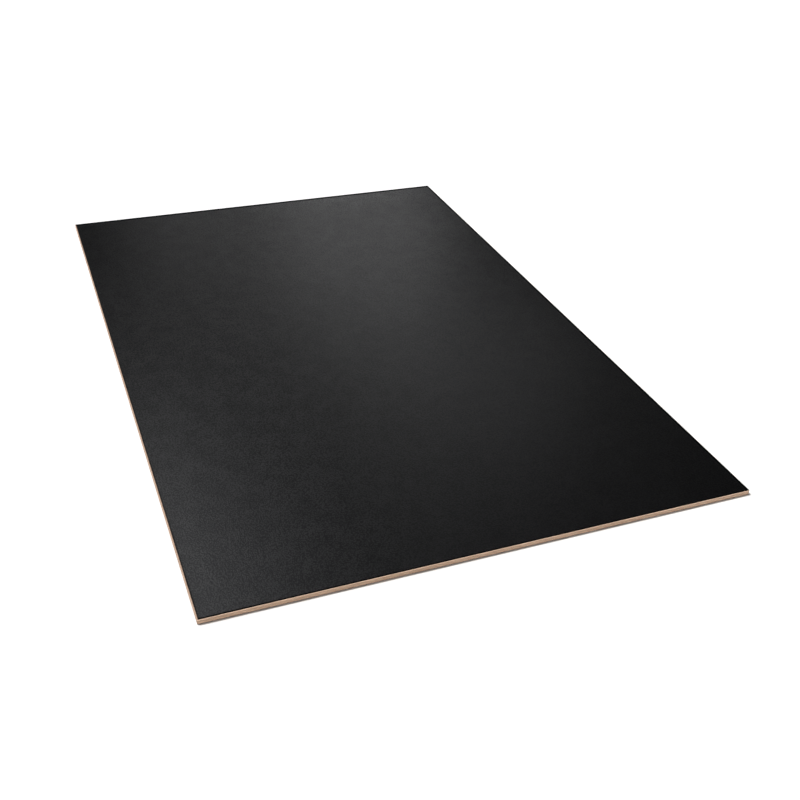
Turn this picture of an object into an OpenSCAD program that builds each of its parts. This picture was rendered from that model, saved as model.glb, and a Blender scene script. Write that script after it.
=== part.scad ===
// Faced medium-density fiberboard sheet, lying flat.
// X runs across the width, Y along the length and Z up. The origin is the middle of the underside.

/* [Sheet] */
// Width of the sheet, across the saw-cut sides
sheet_width = 1220; // [300:5:2100]
// Length of the sheet, between its sawn ends
sheet_length = 1830; // [300:5:3660]
// Thickness of the sheet over both facings
sheet_thickness = 12; // [3:0.5:38]

/* [Facings] */
// Thickness of the black resin-film facing on the upper face
top_facing_thickness = 0.2; // [0.1:0.05:1]
// Thickness of the balancing facing on the underside
bottom_facing_thickness = 0.2; // [0.1:0.05:1]

/* [Sawn edges] */
// Width of the break that takes the sharpness off every sawn arris
arris_break = 0.3; // [0.1:0.05:0.6]

/* [Hidden] */

board_color = "#B2927A";
facing_color = "#303032";

// Heights of the two glue lines, where the facings meet the board
lower_glue_line = bottom_facing_thickness;
upper_glue_line = sheet_thickness - top_facing_thickness;

// How far a cutting shape runs past the sheet, so that no two faces coincide
overcut = 5;

// A rectangle standing on the X axis, or centred on it, with its four corners cut off at 45 degrees
module broken_rectangle(width, depth, cut, centred_depth = false) {
    low = centred_depth ? -depth / 2 : 0;
    high = low + depth;
    side = width / 2;
    polygon([
        [-side + cut, low], [side - cut, low], [side, low + cut], [side, high - cut],
        [side - cut, high], [-side + cut, high], [-side, high - cut], [-side, low + cut]
    ]);
}

// Extrudes a cross-section drawn across and up, so that it runs along Y through the whole sheet
module run_along_length() {
    run = sheet_length + 2 * overcut;
    translate([0, run / 2, 0]) rotate([90, 0, 0]) linear_extrude(run) children();
}

// Extrudes a cross-section drawn along and up, so that it runs along X through the whole sheet
module run_along_width() {
    run = sheet_width + 2 * overcut;
    rotate([0, 0, 90]) translate([0, run / 2, 0]) rotate([90, 0, 0]) linear_extrude(run) children();
}

// The whole pressed and trimmed sheet: plan, cross-section and long section meet in its broken arrises
module trimmed_sheet() {
    intersection() {
        translate([0, 0, -overcut])
            linear_extrude(sheet_thickness + 2 * overcut)
                broken_rectangle(sheet_width, sheet_length, arris_break, centred_depth = true);
        run_along_length() broken_rectangle(sheet_width, sheet_thickness, arris_break);
        run_along_width() broken_rectangle(sheet_length, sheet_thickness, arris_break);
    }
}

// A level slab wider than the sheet, from one height to another
module level_slab(from_height, to_height) {
    translate([-sheet_width / 2 - overcut, -sheet_length / 2 - overcut, from_height])
        cube([sheet_width + 2 * overcut, sheet_length + 2 * overcut, to_height - from_height]);
}

// The layer of the trimmed sheet that lies between two heights
module layer(from_height, to_height) {
    intersection() {
        trimmed_sheet();
        level_slab(from_height, to_height);
    }
}

// The pressed fibre board, bare on its four sawn edges
module fiberboard_core() {
    color(board_color) layer(lower_glue_line, upper_glue_line);
}

// The black film on the upper face
module top_facing() {
    color(facing_color) layer(upper_glue_line, sheet_thickness + overcut);
}

// The black film on the underside, which keeps the board in balance
module bottom_facing() {
    color(facing_color) layer(-overcut, lower_glue_line);
}

fiberboard_core();
top_facing();
bottom_facing();
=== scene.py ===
import math

import bpy
from mathutils import Matrix, Vector, noise


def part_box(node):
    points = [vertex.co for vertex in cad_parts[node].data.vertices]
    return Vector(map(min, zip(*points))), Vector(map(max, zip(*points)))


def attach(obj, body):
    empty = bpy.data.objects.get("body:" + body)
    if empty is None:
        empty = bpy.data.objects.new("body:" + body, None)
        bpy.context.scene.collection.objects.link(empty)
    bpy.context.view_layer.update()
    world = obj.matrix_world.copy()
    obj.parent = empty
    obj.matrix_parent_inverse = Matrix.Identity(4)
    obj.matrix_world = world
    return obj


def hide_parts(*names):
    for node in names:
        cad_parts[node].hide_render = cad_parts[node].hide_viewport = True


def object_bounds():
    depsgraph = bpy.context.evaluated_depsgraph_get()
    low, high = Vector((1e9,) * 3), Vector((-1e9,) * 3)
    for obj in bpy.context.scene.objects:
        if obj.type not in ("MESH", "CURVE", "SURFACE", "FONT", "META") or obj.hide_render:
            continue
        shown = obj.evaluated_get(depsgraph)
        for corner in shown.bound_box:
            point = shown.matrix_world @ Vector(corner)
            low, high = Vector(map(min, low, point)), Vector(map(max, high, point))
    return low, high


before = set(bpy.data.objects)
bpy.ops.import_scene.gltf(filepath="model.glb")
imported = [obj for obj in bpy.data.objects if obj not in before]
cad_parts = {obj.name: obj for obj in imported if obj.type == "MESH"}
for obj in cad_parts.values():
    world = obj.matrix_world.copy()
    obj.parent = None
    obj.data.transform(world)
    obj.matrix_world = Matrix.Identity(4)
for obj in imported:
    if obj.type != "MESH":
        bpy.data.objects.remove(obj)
cadLow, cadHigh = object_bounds()
sheetMiddle = (cadLow + cadHigh) / 2
sheetWidth, sheetLength = (cadHigh - cadLow).xy
print("frame loaded with", ", ".join(sorted(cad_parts)))


# An output socket that sums can be written with, as if it were a number. Each adds its Math node.
class Signal:
    def __init__(self, recipe, socket):
        self.recipe = recipe
        self.socket = socket

    def maths(self, operation, other=None):
        values = {"Value": self}
        if other is not None:
            values["Value_001"] = other
        return self.recipe.node("ShaderNodeMath", {"operation": operation}, values)

    def __add__(self, other):
        return self.maths("ADD", other)

    def __sub__(self, other):
        return self.maths("SUBTRACT", other)

    def __rsub__(self, other):
        return self * -1 + other

    def __mul__(self, other):
        return self.maths("MULTIPLY", other)

    def __truediv__(self, other):
        return self.maths("DIVIDE", other)

    __radd__ = __add__
    __rmul__ = __mul__

    def size(self):
        return self.maths("ABSOLUTE")

    def root(self):
        return self.maths("SQRT")

    def lesser(self, other):
        return self.maths("MINIMUM", other)

    def greater(self, other):
        return self.maths("MAXIMUM", other)

    # 0 below the first value, 1 above the second, and a smooth rise between them
    def rise(self, start, end):
        settings = {"interpolation_type": "SMOOTHSTEP"}
        values = {"Value": self, "From Min": start, "From Max": end}
        return self.recipe.node("ShaderNodeMapRange", settings, values, "Result")


def opaque(color):
    return (*color, 1)


# A node tree under construction. Every node comes from make().
class Recipe:
    def __init__(self, tree):
        self.tree = tree
        tree.nodes.clear()

    # Adds a node: its settings first, then a value or a link for each socket, by name or identifier
    def make(self, kind, settings=None, values=None):
        made = self.tree.nodes.new(kind)
        for name, setting in (settings or {}).items():
            setattr(made, name, setting)
        live = [socket for socket in made.inputs if socket.enabled]
        for name, value in (values or {}).items():
            socket = next(socket for socket in live if name in (socket.name, socket.identifier))
            if isinstance(value, Signal):
                self.tree.links.new(value.socket, socket)
            else:
                socket.default_value = value
        return made

    # The same, for a node of which one output is wanted: the named one or else the first
    def node(self, kind, settings=None, values=None, output=None):
        made = self.make(kind, settings, values)
        live = [socket for socket in made.outputs if socket.enabled]
        return Signal(self, next(socket for socket in live if output in (None, socket.name)))

    def blend(self, share, first, second):
        values = {"Factor": share, "A": first, "B": second}
        return self.node("ShaderNodeMix", {"data_type": "RGBA"}, values)

    def split(self, place):
        parts = self.make("ShaderNodeSeparateXYZ", None, {"Vector": place})
        return [Signal(self, socket) for socket in parts.outputs]

    def join(self, x, y, z):
        return self.node("ShaderNodeCombineXYZ", None, {"X": x, "Y": y, "Z": z})

    # Whether a ray comes from the camera, and whether it was mirrored or let through
    def rays(self):
        path = self.make("ShaderNodeLightPath")
        kinds = ("Is Camera Ray", "Is Glossy Ray", "Is Transmission Ray")
        camera, glossy, through = [Signal(self, path.outputs[kind]) for kind in kinds]
        return camera, glossy.greater(through)

    def noise(self, place, featureSize, detail=2.0, roughness=0.5):
        values = {"Vector": place, "Scale": 1 / featureSize, "Detail": detail, "Roughness": roughness}
        return self.node("ShaderNodeTexNoise", None, values, "Fac")

    # How far each spot is from the middle of its cell: 0 there and growing to the cell's border
    def cells(self, place, cellSize):
        values = {"Vector": place, "Scale": 1 / cellSize}
        return self.node("ShaderNodeTexVoronoi", None, values, "Distance")


def newFinish(name):
    material = bpy.data.materials.new(name)
    material.use_nodes = True
    return material, Recipe(material.node_tree)


def giveSurface(recipe, values):
    surface = recipe.node("ShaderNodeBsdfPrincipled", None, values)
    recipe.make("ShaderNodeOutputMaterial", None, {"Surface": surface})


def newPiece(name, vertices, faces, material):
    mesh = bpy.data.meshes.new(name)
    mesh.from_pydata(vertices, [], faces)
    mesh.validate()
    mesh.materials.append(material)
    piece = bpy.data.objects.new(name, mesh)
    bpy.context.scene.collection.objects.link(piece)
    return piece


viewpoint = {
    "aimAcross": -0.0171,  # of the sheet's width, from its middle
    "aimAlong": -0.1747,  # of the sheet's length, from its middle
    "distance": 2.5352,
    "azimuth": -21.972,  # degrees, as the elevation and the roll are
    "elevation": 33.338,
    "roll": 2.397,
    "lens": 46.55,
    "shiftAcross": 0.02,
}


def direction(azimuth, elevation):
    across, up = math.radians(azimuth), math.radians(elevation)
    return Vector((math.sin(across) * math.cos(up), -math.cos(across) * math.cos(up), math.sin(up)))


def makeCamera():
    camera = bpy.data.objects.new("camera", bpy.data.cameras.new("camera"))
    camera.data.lens = viewpoint["lens"]
    camera.data.shift_x = viewpoint["shiftAcross"]
    back = direction(viewpoint["azimuth"], viewpoint["elevation"])
    aim = Vector((sheetMiddle.x, sheetMiddle.y, cadLow.z))
    aim += Vector((viewpoint["aimAcross"] * sheetWidth, viewpoint["aimAlong"] * sheetLength, 0))
    turn = back.to_track_quat("Z", "Y").to_matrix() @ Matrix.Rotation(math.radians(viewpoint["roll"]), 3, "Z")
    camera.matrix_world = Matrix.Translation(aim + back * viewpoint["distance"]) @ turn.to_4x4()
    bpy.context.scene.collection.objects.link(camera)
    bpy.context.scene.camera = camera


makeCamera()
print("camera placed")


topFilm = {
    "color": (0.0033, 0.0033, 0.0035),
    "glossTint": (0.945, 0.95, 1.0),
    "roughness": 0.34,
    "cloudSize": 0.16,  # slow change of sheen left by the press
    "cloudDetail": 5.0,
    "cloudSheen": 0.07,
    "peelSize": 0.0036,  # the film's own fine leathery grain
    "peelRange": (0.16, 0.78),  # from a crest to a hollow
    "driftSize": 0.045,  # slower change of that grain
    "peelDrift": 0.44,
    "peelSheen": 0.05,
    "peelHeight": 0.00016,
    "peelGloss": 0.7,  # extra gloss on its crests
    "leftContrast": (1.3, 0.84),  # of that gloss at the left side, near end and far end
    "restContrast": (0.65, 1.0),  # and on the rest of the sheet
    "leftShares": (0.2, 0.42),  # where the left side's contrast fades out, as shares of the width
    "farShares": (0.45, 0.85),  # where the far end's sets in, as shares of the length
    "pearlSize": 0.0011,  # fine texture of the press plate
    "pearlDetail": 1.0,
    "pearlHeight": 0.000012,
    "rimWidths": {"left": 0.0046, "right": 0.0072, "near": 0.0042, "far": 0.013},  # bruised by the saw
    "rimFade": (0.35, 1.25),  # shares of those widths between which the rim fades out
    "rimSheen": 0.5,
    "rimDulling": 0.9,
    "rimColor": (0.0012, 0.0018, 0.0026),
    "bareWidth": 0.0023,  # chipped off the left border, down to the board
    "bareFade": 0.8,  # share of that width at which the film sets in
    "bareRag": 0.0012,
    "chipLength": 0.005,
    "bareColor": (0.39, 0.27, 0.2),
    "polish": {  # shinier ground: middle and reach as shares of the sheet, and its extra gloss
        "farEnd": ((0.22, 0.5), (0.43, 0.1), 0.54),
        "leftSide": ((-0.5, -0.36), (0.08, 0.24), 0.1),
    },
    "wear": {  # duller ground: middle and reach in the same way, and how dull it is
        "farLeftCorner": ((-0.5, 0.5), (0.15, 0.34), 0.4),
        "rightSide": ((0.5, 0), (0.1, 0.34), 0.2),
        "nearRightCorner": ((0.5, -0.5), (0.2, 0.16), 0.3),
        "farRightCorner": ((0.5, 0.5), (0.18, 0.26), 0.3),
    },
}
backFilm = dict(topFilm, color=(0.0075, 0.0074, 0.0072), roughness=0.5, peelHeight=0.0003, peelGloss=0.2)


# 1 at the middle of a patch of the sheet, and 0 from its border on
def patchMask(x, y, middle, reach):
    across = (x - (sheetMiddle.x + middle[0] * sheetWidth)) / (reach[0] * sheetWidth)
    along = (y - (sheetMiddle.y + middle[1] * sheetLength)) / (reach[1] * sheetLength)
    return 1 - (across * across + along * along).root().rise(0, 1)


def filmFinish(name, look, node):
    low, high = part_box(node)
    material, recipe = newFinish(name)
    place = recipe.node("ShaderNodeTexCoord", None, None, "Object")
    x, y = recipe.split(place)[:2]

    # The bruised rim, and the strip chipped bare
    rims = look["rimWidths"]
    toSides = ((x - low.x) / rims["left"]).lesser((high.x - x) / rims["right"])
    toEnds = ((y - low.y) / rims["near"]).lesser((high.y - y) / rims["far"])
    rim = 1 - toSides.lesser(toEnds).rise(*look["rimFade"])
    chips = (recipe.noise(place, look["chipLength"]) - 0.5) * look["bareRag"]
    bare = 1 - (x - low.x + chips).rise(look["bareFade"] * look["bareWidth"], look["bareWidth"])

    # Where the press and wear left it shinier or duller
    gloss = look["peelGloss"]
    for middle, reach, extra in look["polish"].values():
        gloss = patchMask(x, y, middle, reach) * extra + gloss
    dulling = rim * look["rimDulling"]
    for middle, reach, dullness in look["wear"].values():
        dulling = dulling.greater(patchMask(x, y, middle, reach) * dullness)
    cloud = recipe.noise(place, look["cloudSize"], look["cloudDetail"])

    # The leathery grain, and the finer one of the press plate
    drift = (recipe.noise(place, look["driftSize"]) - 0.5) * look["peelDrift"]
    peel = 1 - (recipe.cells(place, look["peelSize"]) + drift).rise(*look["peelRange"])
    pearl = recipe.noise(place, look["pearlSize"], look["pearlDetail"])
    leftness = 1 - ((x - low.x) / sheetWidth).rise(*look["leftShares"])
    farness = ((y - low.y) / sheetLength).rise(*look["farShares"])
    contrasts = (look["leftContrast"], look["restContrast"])
    leftContrast, restContrast = [farness * (far - near) + near for near, far in contrasts]
    contrast = leftness * (leftContrast - restContrast) + restContrast
    crests = ((peel - 0.5) * contrast + 0.5).greater(0)

    roughness = (cloud - 0.5) * look["cloudSheen"] + (peel - 0.5) * look["peelSheen"] + look["roughness"]
    height = peel * (look["peelHeight"] / look["pearlHeight"]) + pearl
    bump = recipe.node("ShaderNodeBump", None, {"Distance": look["pearlHeight"], "Height": height})
    color = recipe.blend(rim, opaque(look["color"]), opaque(look["rimColor"]))
    giveSurface(recipe, {
        "Base Color": recipe.blend(bare, color, opaque(look["bareColor"])),
        "Specular Tint": opaque(look["glossTint"]),
        "Roughness": roughness + rim * look["rimSheen"],
        "Metallic": dulling * (1 - bare),
        "Coat Weight": crests * (1 - rim) * (1 - bare) * gloss,
        "Coat Roughness": look["roughness"],
        "Normal": bump,
    })
    return material


def dressFacing(node, material):
    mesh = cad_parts[node].data
    mesh.materials.clear()
    mesh.materials.append(material)


dressFacing("top_facing", filmFinish("blackFilm", topFilm, "top_facing"))
dressFacing("bottom_facing", filmFinish("backingFilm", backFilm, "bottom_facing"))
print("facings finished")


rawBoard = {
    "color": (0.43, 0.285, 0.195),
    "paleColor": (0.74, 0.535, 0.395),  # paler fibre, and the painted highlight laid on the skins
    "darkColor": (0.27, 0.165, 0.105),  # pressed, resin-rich fibre
    "fleckColor": (0.19, 0.11, 0.07),  # bark
    # the dark of the painted contact shade along the foot of the sides, where the board meets the floor
    "contactShadeColor": (0.075, 0.055, 0.045),
    "roughness": 0.86,
    "specular": 0.3,
    "borderFade": (0.001, 0.004),  # deeper inside the sheet the board stays plain
    # Each grain: its length along a side, its change from side to side, its height, detail and roughness
    "streak": (0.024, 0.9, 0.0022, 3.0, 0.55),
    "fibre": (0.0036, 0.05, 0.0006, 2.0, 0.6),
    "fuzz": (0.0011, 0.01, 0.00034, 2.0, 0.6),  # the finest fibres, standing off the cut
    "fleck": (0.0028, 0.03, 0.0009, 1.0, 0.5),
    "batch": (0.31, 0.9, 0.03, 1.0, 0.5),  # slow change of shade
    "shadeMix": (0.55, 0.25, 0.2),  # shares of streak, fibre and batch in the shade
    "shadeRange": (0.5, 0.68),
    "darkShade": 0.8,
    "paleShade": 0.45,
    "fuzzRange": (0.48, 0.7),
    "fuzzShade": 0.5,
    "fleckRange": (0.66, 0.72),
    "fleckShade": 0.6,
    "skinDepth": 0.003,  # the denser layers under the facings, painted paler as a highlight, the upper one most
    "skinFade": 0.2,  # share of that depth at which they start to fade
    "skinRag": 0.004,
    "skinHighlight": 1.0,
    "skinSmoothness": 0.7,
    "skinGloss": 0.08,
    "lowerSkinShare": 0.4,  # of all that, along the underside
    "contactShadeDepth": 0.0015,  # lowest line of the sides, darkened with painted contact shade
    "contactShadeFade": 0.4,
    "contactShadeRag": 0.002,
    "contactShadeStrength": 0.95,
    "fibreSheen": 0.12,
    "fibreBump": 0.00006,
    "streakBump": 0.4,  # shares of the fibres' height
    "fuzzBump": 0.6,
    "cellsAcross": 13,  # coarse cells of the hidden faces
    "cellsAlong": 20,
    "halvings": 6,  # how often the spacing doubles between the border and those cells
    "ringShare": 0.8,  # depth of each ring of cells, as a share of their width
    "reliefRows": 9,
    "arrisBreak": 0.0003,
    "breakUnderFilm": 0.0001,  # what is left of the arris where a film begins
    "sharpAngle": 30,  # degrees
    "sawPitch": 0.009,
    "sawSlant": 0.35,
    "sawDepth": 0.00005,
    "sawWander": 1.5,  # how many marks the pitch wanders by
    "wanderLength": 0.11,
    "tearLength": 0.007,
    "tearHeight": 0.0016,
    "tearDepth": 0.00013,
    "tearMix": (0.7, 0.3, 0.12),  # the large tears, the small ones, and how readily it tears at all
    "tearAtFilm": 0.3,  # depth of the tears beside the films, against that in the middle
    "shredLength": 0.0031,  # the small tears
    "shredHeight": 0.0011,
    "sideSeeds": ((0, 5.1), (0, 9.7), (40, 3.3)),  # start and step, so that the four sides differ
    "calmFilm": 3.5,  # the higher, the nearer to the films the relief goes
    "calmCorner": 0.004,  # no relief this near to a corner
    "strips": 22,  # the sawn edge is folded into so many strips on its texture map
    "stripSpan": 0.97,  # shares of the map
    "stripGap": 0.003,
    "stripMargins": (0.012, 0.004),
    "stripSlack": 1.01,
    "hiddenMargins": (0.02, 0.985),  # the hidden faces lie small above the strips
    "hiddenScale": 0.01,
    "hiddenGap": 0.03,
}
coreLow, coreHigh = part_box("fiberboard_core")
coreMiddle, coreHalf = (coreLow + coreHigh) / 2, (coreHigh - coreLow) / 2


# How far the saw and the torn fibres cut in, at a level from -1 to 1 of the thickness
def sawnRelief(side, run, sideLength, level):
    softness = 1 - level * level
    toCorner = min(run, sideLength - run) / rawBoard["calmCorner"]
    height = level * coreHalf.z
    wanderSeed, tearSeed, shredSeed = [start + side * step for start, step in rawBoard["sideSeeds"]]
    marks = Vector((run / rawBoard["wanderLength"], wanderSeed, 0))
    largeTears = Vector((run / rawBoard["tearLength"], height / rawBoard["tearHeight"], tearSeed))
    smallTears = Vector((run / rawBoard["shredLength"], height / rawBoard["shredHeight"], shredSeed))
    wander = rawBoard["sawWander"] * noise.noise(marks)
    turn = run / rawBoard["sawPitch"] + rawBoard["sawSlant"] * level + wander
    large, small, readiness = rawBoard["tearMix"]
    torn = max(0, large * noise.noise(largeTears) + small * noise.noise(smallTears) + readiness)
    torn *= rawBoard["tearAtFilm"] + (1 - rawBoard["tearAtFilm"]) * softness
    depth = rawBoard["sawDepth"] * (0.5 + 0.5 * math.sin(2 * math.pi * turn)) + rawBoard["tearDepth"] * torn
    return depth * min(1, toCorner) * min(1, rawBoard["calmFilm"] * softness)


# A loop of points round the board, kept as four sides. With no cut the sides share their corners.
def addLoop(vertices, steps, level, inset=0, cut=0, sawn=False):
    across, along = coreHalf.x - inset, coreHalf.y - inset
    signs = ((-1, -1), (1, -1), (1, 1), (-1, 1))
    corners = [Vector((acrossSign * across, alongSign * along)) for acrossSign, alongSign in signs]
    loop = []
    for side in range(4):
        start, end = corners[side], corners[(side + 1) % 4]
        heading = (end - start).normalized()
        inward = Vector((-heading.y, heading.x))
        length = (end - start).length - 2 * cut
        sideSteps = steps[side % 2]
        made = []
        for step in range(sideSteps + 1 if cut else sideSteps):
            run = length * step / sideSteps
            depth = sawnRelief(side, run, length, level) if sawn else 0
            spot = start + heading * (cut + run) + inward * depth
            made.append(len(vertices))
            vertices.append((coreMiddle.x + spot.x, coreMiddle.y + spot.y, coreMiddle.z + level * coreHalf.z))
        loop.append(made)
    if not cut:
        for side in range(4):
            loop[side].append(loop[(side + 1) % 4][0])
    return loop


# Three triangles for every two steps of the outer loop, so that the spacing doubles
def halveLoop(outer, inner):
    faces = []
    for side in range(4):
        nextStart = outer[(side + 1) % 4][0]
        if outer[side][-1] != nextStart:
            faces.append((outer[side][-1], nextStart, inner[side][-1]))
        for step in range(len(inner[side]) - 1):
            first, between, last = outer[side][2 * step:2 * step + 3]
            near, far = inner[side][step:step + 2]
            faces += [(first, between, near), (between, far, near), (between, last, far)]
    return faces


# The flat face under a facing: loops of doubling spacing, then plain cells
def hiddenFace(vertices, border, level):
    faces = []
    loop, inset = border, 0
    across, along = rawBoard["cellsAcross"], rawBoard["cellsAlong"]
    for halving in reversed(range(rawBoard["halvings"])):
        steps = (across * 2 ** halving, along * 2 ** halving)
        inset += rawBoard["ringShare"] * 2 * coreHalf.x / steps[0]
        inner = addLoop(vertices, steps, level, inset)
        faces += halveLoop(loop, inner)
        loop = inner
    grid = {}
    for column in range(across + 1):
        grid[column, 0], grid[column, along] = loop[0][column], loop[2][across - column]
    for row in range(along + 1):
        grid[across, row], grid[0, row] = loop[1][row], loop[3][along - row]
    first, last = Vector(vertices[grid[0, 0]]), Vector(vertices[grid[across, along]])
    for column in range(1, across):
        for row in range(1, along):
            grid[column, row] = len(vertices)
            share = Vector((column / across, row / along, 0))
            vertices.append(tuple(first + share * (last - first)))
    for column in range(across):
        for row in range(along):
            corners = ((column, row), (column + 1, row), (column + 1, row + 1), (column, row + 1))
            faces.append(tuple(grid[corner] for corner in corners))
    return faces if level > 0 else [face[::-1] for face in faces]


# Levels of the loops up the sawn side, with the inset and the corner cut of each
def sideLevels():
    bevel = rawBoard["breakUnderFilm"]
    top = 1 - bevel / coreHalf.z
    rows = rawBoard["reliefRows"]
    plain = (0, rawBoard["arrisBreak"])
    underFilm = (bevel, rawBoard["arrisBreak"] - 2 * bevel)
    levels = [(-1, *underFilm, False)]
    levels += [(top * (2 * row / rows - 1), *plain, 0 < row < rows) for row in range(rows + 1)]
    return levels + [(1, *underFilm, False)]


# Where a spot of the sawn side lies on the texture map: one strip above the other
def stripPlace(strip, stripLength, distance, climb):
    left, bottom = rawBoard["stripMargins"]
    scale = rawBoard["stripSpan"] / stripLength
    pitch = rawBoard["stripSlack"] * 2 * coreHalf.z * scale + rawBoard["stripGap"]
    return left + (distance - strip * stripLength) * scale, bottom + strip * pitch + climb * scale


# Where a spot of the hidden faces lies on it
def hiddenPlace(x, y, z):
    left, bottom = rawBoard["hiddenMargins"]
    scale = rawBoard["hiddenScale"]
    return left + scale * x + rawBoard["hiddenGap"] * (z > coreMiddle.z), bottom + scale * y


# The faces of the sawn sides, with the place of each of their corners on the texture map
def sawnFaces(vertices, levels, rounds):
    faces, places = [], []
    distances, climbs = [0], [0]
    for here, there in zip(rounds[1], rounds[1][1:] + rounds[1][:1]):
        distances.append(distances[-1] + (Vector(vertices[there]) - Vector(vertices[here])).length)
    for lower, upper in zip(levels, levels[1:]):
        climbs.append(climbs[-1] + math.hypot((upper[0] - lower[0]) * coreHalf.z, upper[1] - lower[1]))
    stripLength = distances[-1] / rawBoard["strips"]
    for row, (lower, upper) in enumerate(zip(rounds, rounds[1:])):
        for column in range(len(lower)):
            after = (column + 1) % len(lower)
            faces.append((lower[column], lower[after], upper[after], upper[column]))
            strip = int(distances[column] / stripLength)
            for onward, upward in ((0, 0), (1, 0), (1, 1), (0, 1)):
                spot = (distances[column + onward], climbs[row + upward])
                places.append(stripPlace(strip, stripLength, *spot))
    return faces, places


def makeBoard(material):
    vertices = []
    steps = [rawBoard[cells] * 2 ** rawBoard["halvings"] for cells in ("cellsAcross", "cellsAlong")]
    levels = sideLevels()
    loops = [addLoop(vertices, steps, level, inset, cut, sawn) for level, inset, cut, sawn in levels]
    faces, places = sawnFaces(vertices, levels, [sum(loop, []) for loop in loops])
    hidden = hiddenFace(vertices, loops[-1], 1) + hiddenFace(vertices, loops[0], -1)
    places += [hiddenPlace(*vertices[corner]) for face in hidden for corner in face]
    board = newPiece("sawn_fiberboard", vertices, faces + hidden, material)
    board.data.shade_smooth()
    board.data.set_sharp_from_angle(angle=math.radians(rawBoard["sharpAngle"]))
    textureMap = board.data.uv_layers.new(name="OFBake")
    textureMap.uv.foreach_set("vector", [part for place in places for part in place])
    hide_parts("fiberboard_core")
    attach(board, "root")


def boardFinish():
    material, recipe = newFinish("rawFiberboard")
    place = recipe.node("ShaderNodeTexCoord", None, None, "Object")
    x, y, z = recipe.split(place)
    run, lie = x + y, x - y  # both grow along every side
    toBorder = (coreHalf.x - (x - coreMiddle.x).size()).lesser(coreHalf.y - (y - coreMiddle.y).size())
    showing = 1 - toBorder.rise(*rawBoard["borderFade"])

    def grain(name):
        length, reach, height, detail, roughness = rawBoard[name]
        return recipe.noise(recipe.join(run / length, lie / reach, z / height), 1, detail, roughness)

    streak, fibre, fuzz, fleck, batch = map(grain, ("streak", "fibre", "fuzz", "fleck", "batch"))

    # The dense skins under the facings, laid paler with a painted highlight along the top, and the painted
    # contact shade along the foot
    skinRag = (streak - 0.5) * rawBoard["skinRag"]
    skinRange = (rawBoard["skinFade"] * rawBoard["skinDepth"], rawBoard["skinDepth"])
    upperSkin = 1 - (coreHigh.z - z + skinRag).rise(*skinRange)
    lowerSkin = 1 - (z - coreLow.z + skinRag).rise(*skinRange)
    skin = upperSkin + lowerSkin * rawBoard["lowerSkinShare"]
    contactShadeRag = (fibre - 0.5) * rawBoard["contactShadeRag"]
    contactShadeRange = (rawBoard["contactShadeFade"] * rawBoard["contactShadeDepth"], rawBoard["contactShadeDepth"])
    # painted contact shade: the lowest line of the sides is darkened, standing in for the shadow where the
    # board meets the floor
    contactShade = 1 - (z - coreLow.z + contactShadeRag).rise(*contactShadeRange)

    # Each shade is laid over the ones before it
    streakShare, fibreShare, batchShare = rawBoard["shadeMix"]
    mix = streak * streakShare + fibre * fibreShare + batch * batchShare
    darkFibre = mix.rise(*rawBoard["shadeRange"]) * rawBoard["darkShade"] * (1 - skin)
    paleFibre = (1 - mix).rise(*rawBoard["shadeRange"]) * rawBoard["paleShade"]
    shades = (
        (darkFibre, "darkColor"),
        # painted highlight: the skins are laid paler, the upper one more than the lower, as if light caught
        # the top arris
        (paleFibre.greater(skin * rawBoard["skinHighlight"]), "paleColor"),
        (fuzz.rise(*rawBoard["fuzzRange"]) * rawBoard["fuzzShade"], "paleColor"),
        ((1 - fuzz).rise(*rawBoard["fuzzRange"]) * rawBoard["fuzzShade"], "darkColor"),
        (fleck.rise(*rawBoard["fleckRange"]) * rawBoard["fleckShade"], "fleckColor"),
        (contactShade * rawBoard["contactShadeStrength"], "contactShadeColor"),
    )
    color = opaque(rawBoard["color"])
    for share, shade in shades:
        color = recipe.blend(share * showing, color, opaque(rawBoard[shade]))

    height = fibre * (1 - skin * rawBoard["skinSmoothness"])
    height = (height + streak * rawBoard["streakBump"] + fuzz * rawBoard["fuzzBump"]) * showing
    bump = recipe.node("ShaderNodeBump", None, {"Distance": rawBoard["fibreBump"], "Height": height})
    roughness = rawBoard["roughness"] + (fibre - 0.5) * rawBoard["fibreSheen"] - skin * rawBoard["skinGloss"]
    giveSurface(recipe, {
        "Base Color": color,
        "Roughness": roughness,
        "Specular IOR Level": rawBoard["specular"],
        "Normal": bump,
    })
    return material


makeBoard(boardFinish())
print("board sawn")


studio = {
    "floorColor": 0.9,
    "floorGlow": 0.02,  # only towards the camera and in reflections
    "floorReach": 40,
    "floorGap": 0.0001,  # under the sheet
    "skyLight": 0.06,  # soft light from all round
    "wallLight": 4.6,  # pale low walls that light the sawn sides
    "wallLean": 0.55,  # more from the right, as the key light comes from the left
    "skyShine": 0.027,  # how bright both are where the film mirrors them
    "wallShine": 0.24,
    "wallFoot": 0.03,  # sines of the angles between which the walls fade out
    "wallHead": 0.26,
    "lampDistance": 3.6,
}
keyLight = {"azimuth": 236, "elevation": 60, "strength": 3.45, "softness": 10}  # angles in degrees
softBoxes = {
    "tallBox": {"azimuth": 193, "elevation": 58, "width": 1.15, "height": 2.1, "power": 12.1},
    "squareBox": {"azimuth": 159, "elevation": 20, "width": 0.93, "height": 0.93, "power": 1.9},
    "stripBox": {"azimuth": 146, "elevation": 34, "width": 1.15, "height": 0.35, "power": 1.28},
    "lowBox": {"azimuth": 173.5, "elevation": 17.5, "width": 0.95, "height": 1.25, "power": 0.89},
    "sideBox": {"azimuth": 230, "elevation": 22, "width": 1.6, "height": 1.0, "power": 2.5},
    "frontBox": {"azimuth": 45, "elevation": 22, "width": 1.6, "height": 1.0, "power": 2.5},
}


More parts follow.
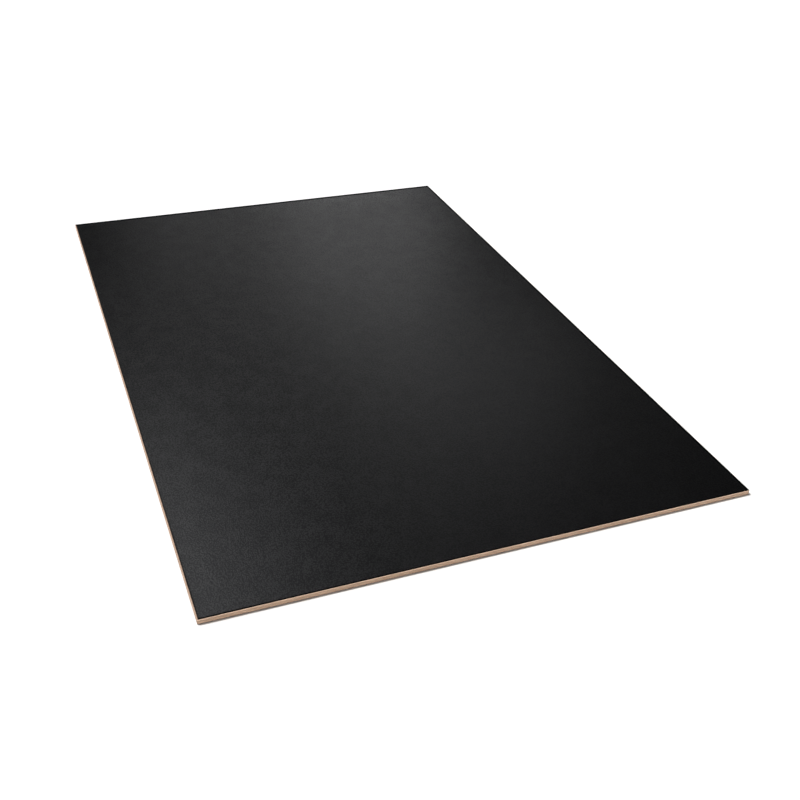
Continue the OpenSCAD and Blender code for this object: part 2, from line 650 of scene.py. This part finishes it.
def makeFloor():
    reach = studio["floorReach"]
    level = cadLow.z - studio["floorGap"]
    corners = [(-reach, -reach, level), (reach, -reach, level), (reach, reach, level), (-reach, reach, level)]
    material, recipe = newFinish("studioFloor")
    camera, other = recipe.rays()
    giveSurface(recipe, {
        "Base Color": opaque([studio["floorColor"]] * 3),
        "Roughness": 1.0,
        "Specular IOR Level": 0.0,
        "Emission Color": recipe.blend(camera.greater(other), opaque((0, 0, 0)), opaque((1, 1, 1))),
        "Emission Strength": studio["floorGlow"],
    })
    newPiece("floor", corners, [(0, 1, 2, 3)], material)


def makeWorld():
    world = bpy.data.worlds.new("studio")
    world.use_nodes = True
    world.cycles.sampling_method = "NONE"  # it is smooth, and each kind of ray sees its own brightness
    recipe = Recipe(world.node_tree)
    camera, mirrored = recipe.rays()
    rightward, _, upward = recipe.split(recipe.node("ShaderNodeTexCoord", None, None, "Generated"))
    wall = 1 - upward.rise(studio["wallFoot"], studio["wallHead"])
    light = wall * (1 + rightward * studio["wallLean"]) * studio["wallLight"] + studio["skyLight"]
    shine = wall * studio["wallShine"] + studio["skyShine"]
    strength = camera + (1 - camera) * (mirrored * shine + (1 - mirrored) * light)
    background = recipe.node("ShaderNodeBackground", None, {"Color": opaque((1, 1, 1)), "Strength": strength})
    recipe.make("ShaderNodeOutputWorld", None, {"Surface": background})
    bpy.context.scene.world = world


def placeLamp(lamp, look):
    back = direction(look["azimuth"], look["elevation"])
    turn = back.to_track_quat("Z", "Y").to_matrix().to_4x4()
    lamp.matrix_world = Matrix.Translation(sheetMiddle + back * studio["lampDistance"]) @ turn
    lamp.visible_camera = False
    bpy.context.scene.collection.objects.link(lamp)


def makeKeyLight():
    lamp = bpy.data.objects.new("keyLight", bpy.data.lights.new("keyLight", "SUN"))
    lamp.data.energy = keyLight["strength"]
    lamp.data.angle = math.radians(keyLight["softness"])
    lamp.visible_glossy = False  # lights the board but leaves no glare on the film
    placeLamp(lamp, keyLight)


def makeSoftBox(name, look):
    lamp = bpy.data.objects.new(name, bpy.data.lights.new(name, "AREA"))
    lamp.data.shape = "RECTANGLE"
    lamp.data.size, lamp.data.size_y = look["width"], look["height"]
    lamp.data.energy = look["power"]
    placeLamp(lamp, look)


makeFloor()
makeWorld()
makeKeyLight()
for boxName, boxLook in softBoxes.items():
    makeSoftBox(boxName, boxLook)
bpy.context.scene.view_settings.view_transform = "Standard"
print("studio lit")
